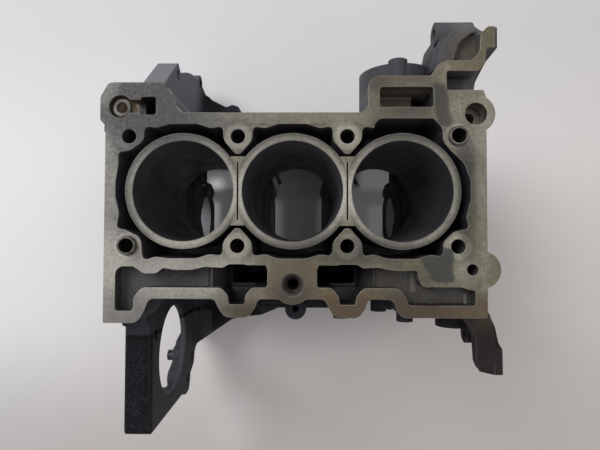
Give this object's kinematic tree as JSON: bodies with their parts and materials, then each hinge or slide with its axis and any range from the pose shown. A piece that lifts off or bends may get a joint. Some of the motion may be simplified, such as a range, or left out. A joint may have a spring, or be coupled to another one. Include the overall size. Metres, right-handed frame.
{
  "type": "engine block",
  "caption": "Cast-iron in-line engine block with open water jacket, deck face up, main bearing caps, starter ear and timing flange.",
  "frame": {"origin": "centre of the middle cylinder bore in the plane of the deck face", "axes": "+Z out of the deck, +X along the crankshaft towards the timing end, +Y towards the exhaust side"},
  "size_m": [0.2945, 0.3625, 0.2614],
  "materials": {
    "cast_block": "rough cast outside, machined deck and bores",
    "bearing_cap": "rough cast with machined joint faces",
    "bolt_steel": "dark oxide",
    "dowel_steel": "ground",
    "plug_steel": "zinc plated, dull",
    "jet_steel": "drawn tube"
  },
  "bodies": {
    "root": {"clutch_housing_dowel_exhaust": "dowel_steel", "clutch_housing_dowel_intake": "dowel_steel", "cooling_jet_bolt_1": "jet_steel", "cooling_jet_bolt_2": "jet_steel", "cooling_jet_bolt_3": "jet_steel", "core_plug_1": "plug_steel", "core_plug_2": "plug_steel", "cylinder_block": "cast_block", "head_dowel_exhaust": "dowel_steel", "head_dowel_intake": "dowel_steel", "main_bearing_cap_1": "bearing_cap", "main_bearing_cap_2": "bearing_cap", "main_bearing_cap_3": "bearing_cap", "main_bearing_cap_4": "bearing_cap", "main_cap_bolt_1_exhaust": "bolt_steel", "main_cap_bolt_1_intake": "bolt_steel", "main_cap_bolt_2_exhaust": "bolt_steel", "main_cap_bolt_2_intake": "bolt_steel", "main_cap_bolt_3_exhaust": "bolt_steel", "main_cap_bolt_3_intake": "bolt_steel", "main_cap_bolt_4_exhaust": "bolt_steel", "main_cap_bolt_4_intake": "bolt_steel", "oil_gallery_plug_clutch_end": "plug_steel", "oil_gallery_plug_timing_end": "plug_steel", "piston_cooling_jet_1": "jet_steel", "piston_cooling_jet_2": "jet_steel", "piston_cooling_jet_3": "jet_steel"}
  },
  "joints": []
}
